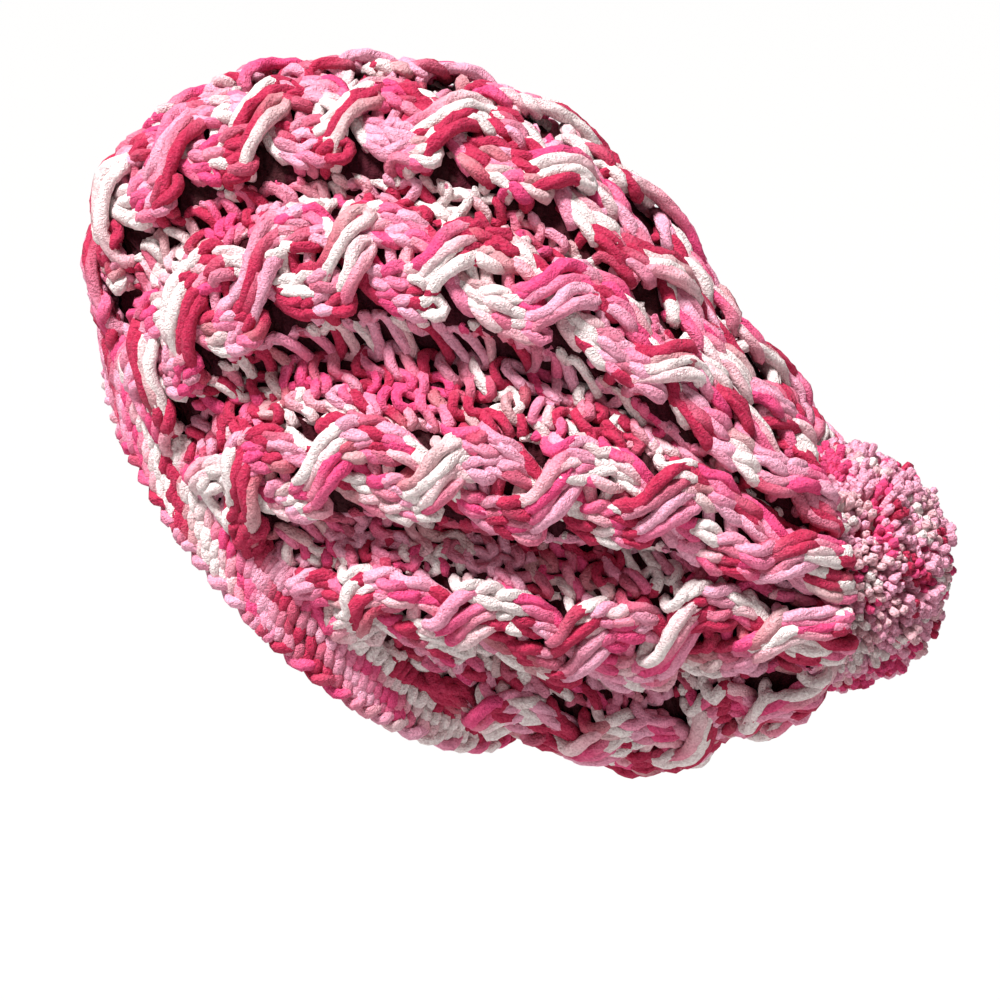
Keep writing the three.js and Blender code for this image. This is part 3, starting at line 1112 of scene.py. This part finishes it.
@dataclass
class GoreKnit(Knitting):
    """A gore of purl stitches between two cables. The stitches in its fold are drawn out wide."""

    radius: float = 2.2
    row_pitch: float = 7.6
    stitch_width: float = 13.5
    most_stitches: int = 3
    widest_share: float = 2.0
    base: float = -4.1
    overlap: float = 0.5
    pairing: float = 0.34
    pairing_turns: float = 1.6
    wander: float = 0.4
    side_spread: float = 0.09
    height_spread: float = 0.14
    place_spread: float = 0.14
    lift_spread: float = 0.8
    loop: Loop = Loop(height=0.80, waist=0.17, depth=2.1, facing=Facing.PURL)

    def keys(self, unit: int, along: float, pitch: float, towards: float) -> Array:
        """The key points of one row.

        Args:
            unit: the number of the cable before the gore, from 0.
            along: the middle of the row.
            pitch: the row's pitch as a share of the way along.
            towards: 1 or -1, for the neighbour that the row is drawn to where rows pair up.

        Returns:
            Points in millimetres.
        """
        first = unit * WALES_PER_UNIT + CABLE_HALF_WALES - self.overlap
        last = (unit + 1) * WALES_PER_UNIT - CABLE_HALF_WALES + self.overlap
        width = self.form.width(first, last, along)
        count = int(np.clip(round(width / self.stitch_width), 2, self.most_stitches))
        parts = np.ones(count)
        parts[0 if FOLDS[unit].deepest <= 0.5 else -1] = self.widest_share
        edges = first + (last - first) * np.concatenate([[0.0], np.cumsum(parts)]) / parts.sum()
        wide = np.diff(edges)[:, None]
        wale = edges[:-1, None] + (0.5 + self.loop.across()[None]) * wide
        wale = wale + self.uneven((count, 1), self.side_spread)
        rise = self.loop.up()[None] * (1 + self.uneven((count, 1), self.height_spread))
        across = (wale - first) / (last - first)
        phase = float(self.draw.uniform(0.0, TURN))
        paired = towards * self.pairing * np.sin(TURN * self.pairing_turns * across + phase)
        place = along + (rise + paired + self.uneven((count, 1), self.place_spread)) * pitch
        lift = self.base + self.loop.out()[None] + self.uneven((count, 1), self.lift_spread)
        wale, place, lift = wale.ravel(), place.ravel(), lift.ravel()
        points = self.form.place(wale, np.clip(place, 0.0, LAST_ALONG), lift)
        return points + self.uneven(points.shape, self.wander)

    def build(self, unit: int) -> bpy.types.Object:
        """Knits one gore.

        Args:
            unit: the number of the cable before the gore, from 0.

        Returns:
            The piece.
        """
        yarn = YarnMesh(self.radius, sides=6, pace=2.4)
        middle = (unit + 0.5) * WALES_PER_UNIT
        rows = round(self.form.length(middle, CABLE_START, CABLE_END) / self.row_pitch)
        pitch = (CABLE_END - CABLE_START) / rows
        for row in range(rows):
            along = CABLE_START + (row + 0.5) * pitch
            keys = self.keys(unit, along, pitch, 1.0 if row % 2 == 0 else -1.0)
            yarn.lay(keys, float(self.draw.uniform(0.0, DYED_LENGTH)))
        return self.finished(yarn, f"gore_{unit + 1}_purl", "gore_knit", "crown_body")


@dataclass
class InnerSide(Knitting):
    """The inner side of the knit: closed rows of chevrons, as a thin relief all round.

    Its outer face lies in the shade behind the stitches and has a finish of its own: a darker copy
    of the yarn, with painted shade.
    """

    painted_shade_finish: bpy.types.Material | None = None
    rows: int = 44
    steps_per_row: int = 3
    steps_per_wale: int = 4
    base: float = -6.8
    relief: float = 0.9
    groove: float = 0.8
    lean: float = 0.4
    thickness: float = 1.2
    backing: float = 3.2
    first_along: float = 0.006
    last_along: float = 0.998
    wale_length: float = 0.02

    def build(self) -> bpy.types.Object:
        """Makes the relief.

        Returns:
            The piece.
        """
        across = WALES * self.steps_per_wale
        steps = self.rows * self.steps_per_row
        wale = np.arange(across) / self.steps_per_wale
        row = np.arange(steps + 1) / self.steps_per_row
        wales, rows = np.meshgrid(wale, row)
        from_middle = 2 * np.abs(np.mod(wales, 1.0) - 0.5)
        phase = rows + self.lean * from_middle
        under_cable = 0.5 + 0.5 * np.cos(TURN * wales / WALES_PER_UNIT)
        grown = smooth_step(BAND_END, RIDGES_FULL, rows / self.rows)
        lift = self.base + self.backing * grown * under_cable ** 2
        lift = lift - self.relief * np.cos(TURN * phase) + self.groove * from_middle ** 2
        along = self.first_along + (self.last_along - self.first_along) * rows / self.rows
        points = self.form.place(wales.ravel(), along.ravel(), lift.ravel())
        here = np.arange(steps)[:, None] * across
        place = np.arange(across)[None, :]
        after = (place + 1) % across
        quads = np.stack([here + place, here + after, here + across + after,
                          here + across + place], axis=-1).reshape(-1, 4)
        own_row = np.clip((phase[:-1] + phase[1:]) / 2, 0, self.rows - 0.5).astype(int)
        starts = self.draw.uniform(0.0, DYED_LENGTH, self.rows)[own_row]
        wale_places = np.stack([place, place + 1, place + 1, place], -1) / self.steps_per_wale
        u = starts[..., None] + self.wale_length * wale_places
        v = np.stack([row[:-1], row[:-1], row[1:], row[1:]], -1)[:, None, :]
        u, v = np.broadcast_arrays(u, v)
        yarn = YarnMesh(self.radius)
        yarn.points.append(points)
        yarn.keep_faces(quads, np.stack([u, v], -1).reshape(-1, 4, 2))
        piece = yarn.build("inner_side_knit")
        wall = piece.modifiers.new("wall", "SOLIDIFY")
        wall.thickness = self.thickness * METRES
        wall.offset = 0.0
        wall.material_offset = 1
        wall.material_offset_rim = 1
        # The outer face takes the darker copy of the yarn, painted shade between the stitches
        piece.data.materials.append(self.painted_shade_finish)
        piece.data.materials.append(self.finish)
        select_only(piece)
        bpy.ops.object.modifier_apply(modifier=wall.name)
        hand_over(piece, "crown_body")
        return piece


@dataclass
class RoundKnit(Knitting):
    """Rows of plain stitches all the way round: the band, and the bowl round the gather."""

    side_spread: float = 0.05
    height_spread: float = 0.05
    lift_spread: float = 0.35
    loop: Loop = Loop(height=0.80, waist=0.16, depth=1.7, facing=Facing.KNIT)

    def lay_row(self, yarn: YarnMesh, along: float, pitch: float, count: int, base: float,
                start: float) -> float:
        """Lays one closed row.

        Args:
            yarn: the mesh to lay it in.
            along: the middle of the row.
            pitch: its pitch as a share of the way along.
            count: how many stitches it has.
            base: its lift in millimetres.
            start: the place on the dyed yarn, in metres.

        Returns:
            The length of yarn that it took, in metres.
        """
        order = np.arange(count)[:, None]
        wale = order + 0.5 + self.loop.across()[None] + self.uneven((count, 1), self.side_spread)
        rise = self.loop.up()[None] * (1 + self.uneven((count, 1), self.height_spread))
        lift = base + self.loop.out()[None] + self.uneven((count, 1), self.lift_spread)
        wale = (wale * WALES / count).ravel()
        place = np.clip(along + rise.ravel() * pitch, 0.0, LAST_ALONG)
        lift = np.broadcast_to(lift, (count, self.loop.keys)).ravel()
        return yarn.lay(self.form.place(wale, place, lift), start, closed=True)


@dataclass
class BrimKnit(RoundKnit):
    """The band round the opening: plain rows and a thick cast-on edge."""

    radius: float = 2.35
    rows: int = 4
    stitches: int = 76
    base: float = -2.6
    row_middle: float = 0.6
    dye_shift: float = 0.23
    edge_wraps: int = 76
    keys_per_wrap: int = 6
    edge_radius: float = 2.2
    edge_lift: float = 1.2
    edge_along: float = 0.004

    def build(self) -> bpy.types.Object:
        """Knits the band.

        Returns:
            The piece.
        """
        yarn = YarnMesh(self.radius, sides=7, pace=2.2)
        pitch = (CABLE_START - self.edge_along) / self.rows
        start = 0.0
        for row in range(self.rows):
            along = self.edge_along + (row + self.row_middle) * pitch
            taken = self.lay_row(yarn, along, pitch, self.stitches, self.base, start)
            start += taken + self.dye_shift
        self.lay_edge(yarn, start)
        return self.finished(yarn, "brim_band_knit", "band_knit", "brim_band")

    def lay_edge(self, yarn: YarnMesh, start: float) -> None:
        """Lays the cast-on edge: two strands that wind round each other.

        Args:
            yarn: the mesh to lay it in.
            start: the place on the dyed yarn, in metres.
        """
        turn = np.arange(self.edge_wraps * self.keys_per_wrap) / self.keys_per_wrap
        for strand in (0.0, 0.5):
            swing = TURN * (turn / 2 + strand)
            wale = turn * WALES / self.edge_wraps
            lift = self.base + self.edge_lift + self.edge_radius * np.cos(swing)
            along = np.full(wale.shape, self.edge_along)
            keys = self.form.place(wale, along, lift)
            keys[:, 2] += self.edge_radius * np.sin(swing)
            yarn.lay(keys, start + strand, closed=True)


@dataclass
class BowlKnit(RoundKnit):
    """The drawn-in knit of the bowl behind the pompom."""

    radius: float = 2.35
    stitch_width: float = 8.5
    base: float = -2.6
    places: tuple[float, ...] = (0.960, 0.970, 0.980, 0.990)
    fewest_stitches: int = 9
    dye_start: float = 3.0
    seam: float = 0.001

    def build(self) -> bpy.types.Object:
        """Knits the bowl.

        Returns:
            The piece.
        """
        yarn = YarnMesh(self.radius, sides=6, pace=2.6)
        start = self.dye_start
        pitch = self.places[1] - self.places[0]
        for along in self.places:
            width = self.form.width(0.0, WALES - self.seam, along)
            count = max(self.fewest_stitches, round(width / self.stitch_width))
            start += self.lay_row(yarn, along, pitch, count, self.base, start)
        return self.finished(yarn, "bowl_knit", "gore_knit", "crown_body")


@dataclass
class GatherKnit:
    """The drawn-up last stitches at the crown, through which the tie goes."""

    finish: bpy.types.Material
    coils: int = 3
    yarn_radius: float = 2.2
    ring_radius: float = 6.6
    back: float = 159.5
    pitch: float = 3.1
    keys: int = 20
    puckers: int = 5
    pucker_depth: float = 0.5
    dye_shift: float = 0.3

    def build(self) -> bpy.types.Object:
        """Makes the gather: coils of yarn drawn tight round the tie.

        Returns:
            The piece.
        """
        yarn = YarnMesh(self.yarn_radius)
        turn = TURN * np.arange(self.keys) / self.keys
        for coil in range(self.coils):
            puckered = self.puckers * turn + coil
            x = self.back + coil * self.pitch + self.pucker_depth * np.sin(puckered)
            radius = self.ring_radius + self.pucker_depth * np.cos(puckered)
            keys = np.stack([x, radius * np.cos(turn), AXIS_Z + radius * np.sin(turn)], axis=1)
            yarn.lay(keys, self.dye_shift * coil, closed=True)
        piece = yarn.build("crown_gather_coils")
        piece.data.materials.append(self.finish)
        hand_over(piece, "crown_gather")
        return piece


@dataclass
class TieKnot:
    """The hidden tie: two strands twisted to a cord, with a knot inside the hat."""

    finish: bpy.types.Material
    strand_radius: float = 1.15
    twist_radius: float = 1.05
    twist_length: float = 7.0
    key_step: float = 0.8
    strand_shift: float = 0.5
    knot_radius: float = 4.4
    knot_keys: int = 48
    knot_ring: float = 0.72
    knot_swing: float = 0.3
    knot_depth: float = 0.9
    knot_thickness: float = 1.6
    knot_dye: float = 0.8
    knot_back: float = 1.0
    knot_middle: float = 151.0
    front: float = 167.0

    def build(self) -> bpy.types.Object:
        """Makes the tie.

        Returns:
            The piece.
        """
        yarn = YarnMesh(self.strand_radius, sides=7, pace=1.2)
        for strand in range(2):
            x = np.arange(self.knot_middle, self.front, self.key_step)
            swing = TURN * (x / self.twist_length + strand / 2)
            keys = np.stack([x, self.twist_radius * np.cos(swing),
                             AXIS_Z + self.twist_radius * np.sin(swing)], axis=1)
            yarn.lay(keys, self.strand_shift * strand)
        turn = np.linspace(0.0, TURN, self.knot_keys, endpoint=False)
        wide = self.knot_radius * (self.knot_ring + self.knot_swing * np.cos(3 * turn))
        deep = self.knot_depth * self.knot_radius * np.sin(3 * turn)
        knot = np.stack([self.knot_middle + deep - self.knot_back,
                         wide * np.cos(2 * turn), AXIS_Z + wide * np.sin(2 * turn)], axis=1)
        yarn.lay(knot, self.knot_dye, closed=True, thick=self.knot_thickness)
        piece = yarn.build("pompom_tie_cord")
        piece.data.materials.append(self.finish)
        hand_over(piece, "pompom_tie")
        return piece


@dataclass(frozen=True)
class PlyStation:
    """A place on a ply, as a share of the ball's reach, and how wide the plies stand there."""

    share: float
    wide: float


PLY_STATIONS = (PlyStation(0.68, 0.45), PlyStation(0.8, 0.6), PlyStation(0.94, 0.9),
                PlyStation(1.0, 1.25))


@dataclass
class Pompom:
    """The ball of cut yarn: hundreds of yarn ends, each with three plies that splay."""

    finish: bpy.types.Material
    seed: int = 31
    middle_x: float = 204.0
    radius: float = 47.0
    seat_depth: float = 36.0
    seat_share: float = 0.94
    ends: int = 1080
    plies: int = 3
    rearmost: float = -0.82
    ply_radius: float = 1.7
    ply_pace: float = 5.6
    ply_growth: tuple[float, float] = (0.8, 1.12)
    tip_length: float = 0.95
    tip_girth: float = 0.55
    core_share: float = 0.87
    core_cuts: int = 4
    fluff: float = 0.17
    splay: float = 2.1
    direction_spread: float = 0.022
    length_spread: float = 0.022
    ply_spread: float = 0.018
    lean: float = 2.2
    long_share: float = 0.03
    long_reach: tuple[float, float] = (1.5, 4.0)
    side_patches: tuple[float, float, float] = (8.3, 3.2, 1.3)
    height_patches: tuple[float, float] = (9.1, 5.9)
    middle_tone: float = 2.6
    tones: tuple[float, ...] = (0.05, 0.21, 0.29, 0.29, 0.164, 0.13)
    dyed_length: float = 0.004
    askew: tuple[float, float, float] = (0.31, 0.72, -0.62)

    def __post_init__(self) -> None:
        """Starts the seeded draws."""
        self.draw = np.random.default_rng(self.seed)

    def build(self) -> bpy.types.Object:
        """Makes the pompom.

        Returns:
            The piece.
        """
        yarn = YarnMesh(self.ply_radius, sides=5, lumps=self.fluff)
        for order in range(self.ends):
            self.lay_end(yarn, order)
        piece = yarn.build("pompom_yarn_ends")
        piece.data.materials.append(self.finish)
        core = self.core()
        core.data.materials.append(self.finish)
        select_only(piece, core)
        bpy.ops.object.join()
        hand_over(piece, "pompom")
        return piece

    def reach(self, direction: Array) -> float:
        """How far the ball reaches. It is flatter where it sits in the bowl.

        Args:
            direction: a unit vector from the ball's middle.

        Returns:
            The reach in millimetres.
        """
        if direction[0] >= 0:
            return self.radius
        girth = self.seat_share * self.radius
        side = math.hypot(direction[1], direction[2])
        return 1.0 / math.sqrt((direction[0] / self.seat_depth) ** 2 + (side / girth) ** 2)

    def direction(self, order: int) -> Array:
        """The direction of a yarn end. The ends are spread evenly over the ball.

        Args:
            order: the end's number.

        Returns:
            A unit vector.
        """
        golden = math.pi * (3 - math.sqrt(5))
        forward = 1 - (1 - self.rearmost) * (order + 0.5) / self.ends
        ring = math.sqrt(1 - forward * forward)
        out = np.array([forward, ring * math.cos(golden * order), ring * math.sin(golden * order)])
        out = out + self.draw.normal(0.0, self.direction_spread, 3)
        return out / np.linalg.norm(out)

    def dye(self, out: Array) -> float:
        """The dye of a yarn end. Neighbours are often alike, so the ball is dyed in patches.

        Args:
            out: the end's direction.

        Returns:
            The place on the dyed yarn, in metres.
        """
        side, tilt, shift = self.side_patches
        height, lean = self.height_patches
        patch = (math.sin(out[1] * side + out[0] * tilt + shift)
                 + math.cos(out[2] * height - out[0] * lean)
                 + float(self.draw.normal(0.0, 1.0)))
        tone = int(np.clip(round(self.middle_tone + patch), 0, len(self.tones) - 1))
        return self.tones[tone]

    def lay_end(self, yarn: YarnMesh, order: int) -> None:
        """Lays the plies of one yarn end.

        Args:
            yarn: the mesh to lay them in.
            order: the end's number.
        """
        out = self.direction(order)
        length = self.reach(out) * (1.0 + float(self.draw.normal(0.0, self.length_spread)))
        if self.draw.uniform() < self.long_share:
            length += float(self.draw.uniform(*self.long_reach))
        lean = self.draw.normal(0.0, self.lean, 3)
        across = np.cross(out, self.askew)
        across = across / np.linalg.norm(across)
        other = np.cross(out, across)
        start = self.dye(out)
        spin = float(self.draw.uniform(0.0, TURN))
        for ply in range(self.plies):
            angle = spin + TURN * ply / self.plies
            apart = across * math.cos(angle) + other * math.sin(angle)
            far = length * (1.0 + float(self.draw.normal(0.0, self.ply_spread)))
            path = self.ply_path(out * far, lean, apart)
            girth = self.ply_radius * np.linspace(*self.ply_growth, len(path))
            path = np.concatenate([path, path[-1:] + out * self.tip_length])
            girth = np.concatenate([girth, girth[-1:] * self.tip_girth])
            yarn.sweep(path, start, self.dyed_length, False, girth)

    def ply_path(self, reach: Array, lean: Array, apart: Array) -> Array:
        """The path of one ply.

        Args:
            reach: from the ball's middle to the ply's tip.
            lean: the lean of the tip.
            apart: a unit vector from the yarn end's middle to the ply.

        Returns:
            Points in millimetres.
        """
        middle = np.array([self.middle_x, 0.0, AXIS_Z])
        root = PLY_STATIONS[0].share
        keys = []
        for station in PLY_STATIONS:
            bend = (station.share - root) / (1 - root)
            keys.append(middle + reach * station.share + lean * bend * bend / 2
                        + apart * self.splay * station.wide)
        path, _ = even_path(smooth_path(np.array(keys), False), self.ply_pace, False)
        return path

    def core(self) -> bpy.types.Object:
        """Makes the bound middle that the ends hide, flattened like the ball.

        Returns:
            The core, at the origin.
        """
        deselect_all()
        bpy.ops.mesh.primitive_ico_sphere_add(
            subdivisions=self.core_cuts, radius=self.core_share * self.radius * METRES,
            location=(self.middle_x * METRES, 0.0, AXIS_Z * METRES))
        core = bpy.context.object
        bpy.ops.object.transform_apply(location=True, rotation=True, scale=True)
        for vertex in core.data.vertices:
            from_middle = vertex.co.x - self.middle_x * METRES
            if from_middle < 0:
                vertex.co.x -= from_middle * (1 - self.seat_depth / self.radius)
        core.data.uv_layers[0].name = YARN_MAP
        flat = np.zeros(2 * len(core.data.loops), np.float32)
        core.data.uv_layers[YARN_MAP].data.foreach_set("uv", flat)
        return core


def deselect_all() -> None:
    """Deselects every object."""
    for item in bpy.context.selected_objects:
        item.select_set(False)


def select_only(active: bpy.types.Object, *others: bpy.types.Object) -> None:
    """Selects objects for an operator, and nothing else.

    Args:
        active: the object that the operator works on.
        others: further objects that it takes in.
    """
    deselect_all()
    for item in (*others, active):
        item.select_set(True)
    bpy.context.view_layer.objects.active = active


@dataclass
class Studio:
    """The pale floor, the soft lights and the camera at the photograph's angle.

    The image is taken to be 1000 by 1000. Distances are in metres and angles in degrees.
    """

    floor_z: float = -0.5
    floor_width: float = 300.0
    floor_colour: Colour = (0.465, 0.463, 0.461)
    floor_specular: float = 0.1
    sky_colour: Colour = (1.0, 0.99, 0.985)
    sky_strength: float = 0.2
    key_strength: float = 7.0
    key_softness: float = 14.0
    key_from: tuple[float, float, float] = (-0.28, -0.37, 0.92)
    azimuth: float = 6.0
    elevation: float = 16.0
    distance: float = 1.1
    pixels_per_metre: float = 2500.0
    image_size: int = 1000
    origin_pixel: tuple[float, float] = (312.0, 545.0)
    sensor: float = 36.0

    def build(self) -> None:
        """Makes the studio."""
        self.build_floor()
        self.build_lights()
        self.build_camera()

    def build_floor(self) -> None:
        """Makes the floor."""
        deselect_all()
        bpy.ops.mesh.primitive_plane_add(size=self.floor_width, location=(0.0, 0.0, self.floor_z))
        floor = bpy.context.object
        floor.name = "floor"
        shader = Shader("pale floor")
        surface = shader.node(
            "ShaderNodeBsdfPrincipled", Base_Color=(*self.floor_colour, 1.0), Roughness=0.9,
            Specular_IOR_Level=self.floor_specular)
        shader.node("ShaderNodeOutputMaterial", Surface=Wire(shader, surface.outputs["BSDF"]))
        floor.data.materials.append(shader.material)

    def build_lights(self) -> None:
        """Makes the sky and the soft lamp."""
        world = bpy.data.worlds.new("studio")
        bpy.context.scene.world = world
        world.use_nodes = True
        sky = world.node_tree.nodes["Background"]
        sky.inputs["Color"].default_value = (*self.sky_colour, 1.0)
        sky.inputs["Strength"].default_value = self.sky_strength
        light = bpy.data.lights.new("key", "SUN")
        light.energy = self.key_strength
        light.angle = math.radians(self.key_softness)
        lamp = bpy.data.objects.new("key", light)
        lamp.rotation_euler = (-Vector(self.key_from)).to_track_quat("-Z", "Y").to_euler()
        bpy.context.scene.collection.objects.link(lamp)

    def build_camera(self) -> None:
        """Makes the camera."""
        a, e = math.radians(self.azimuth), math.radians(self.elevation)
        right = Vector((math.cos(a), math.sin(a), 0.0))
        back = Vector((math.sin(a) * math.cos(e), -math.cos(a) * math.cos(e), math.sin(e)))
        up = back.cross(right)
        half = self.image_size / 2
        target = (right * (half - self.origin_pixel[0]) / self.pixels_per_metre
                  + up * (self.origin_pixel[1] - half) / self.pixels_per_metre)
        lens = bpy.data.cameras.new("camera")
        lens.sensor_width = self.sensor
        lens.lens = self.sensor * self.pixels_per_metre * self.distance / self.image_size
        camera = bpy.data.objects.new("camera", lens)
        turned = Matrix((right, up, back)).transposed().to_4x4()
        turned.translation = target + back * self.distance
        camera.matrix_world = turned
        bpy.context.scene.collection.objects.link(camera)
        bpy.context.scene.camera = camera


YARN = DyedYarn("dyed yarn")

# The outer face of the knit's backing, which lies in the shade between the stitches: a copy of the
# yarn with its colours painted dark as shade
PAINTED_SHADE_YARN = DyedYarn(
    "dyed yarn in the shade", crimson=(0.045, 0.001, 0.005), hot_pink=(0.06, 0.002, 0.01),
    light_pink=(0.06, 0.006, 0.014), cream=(0.06, 0.012, 0.016), sheen=0.0, fleck=0.01)


# The seeds of the pieces' unevenness. A cable's or gore's number is added to its seed
BRIM_SEED = 3
BOWL_SEED = 5
INNER_SEED = 6
CABLE_SEED = 100
GORE_SEED = 200


def main() -> None:
    """Builds the studio and every piece of the hat."""
    logging.basicConfig(level=logging.INFO, format="%(message)s")
    Studio().build()
    form = HatForm()
    wool = YARN.material()
    # A darker copy of the yarn, painted shade for the backing's outer face
    painted_shade_wool = PAINTED_SHADE_YARN.material()
    BrimKnit(form, wool, BRIM_SEED).build()
    for unit in range(UNITS):
        RopeCable(form, wool, CABLE_SEED + unit).build(unit)
        GoreKnit(form, wool, GORE_SEED + unit).build(unit)
    BowlKnit(form, wool, BOWL_SEED).build()
    InnerSide(form, wool, INNER_SEED, painted_shade_finish=painted_shade_wool).build()
    GatherKnit(wool).build()
    TieKnot(wool).build()
    Pompom(wool).build()
    bpy.context.scene.view_settings.view_transform = "Standard"


if __name__ == "__main__":
    main()
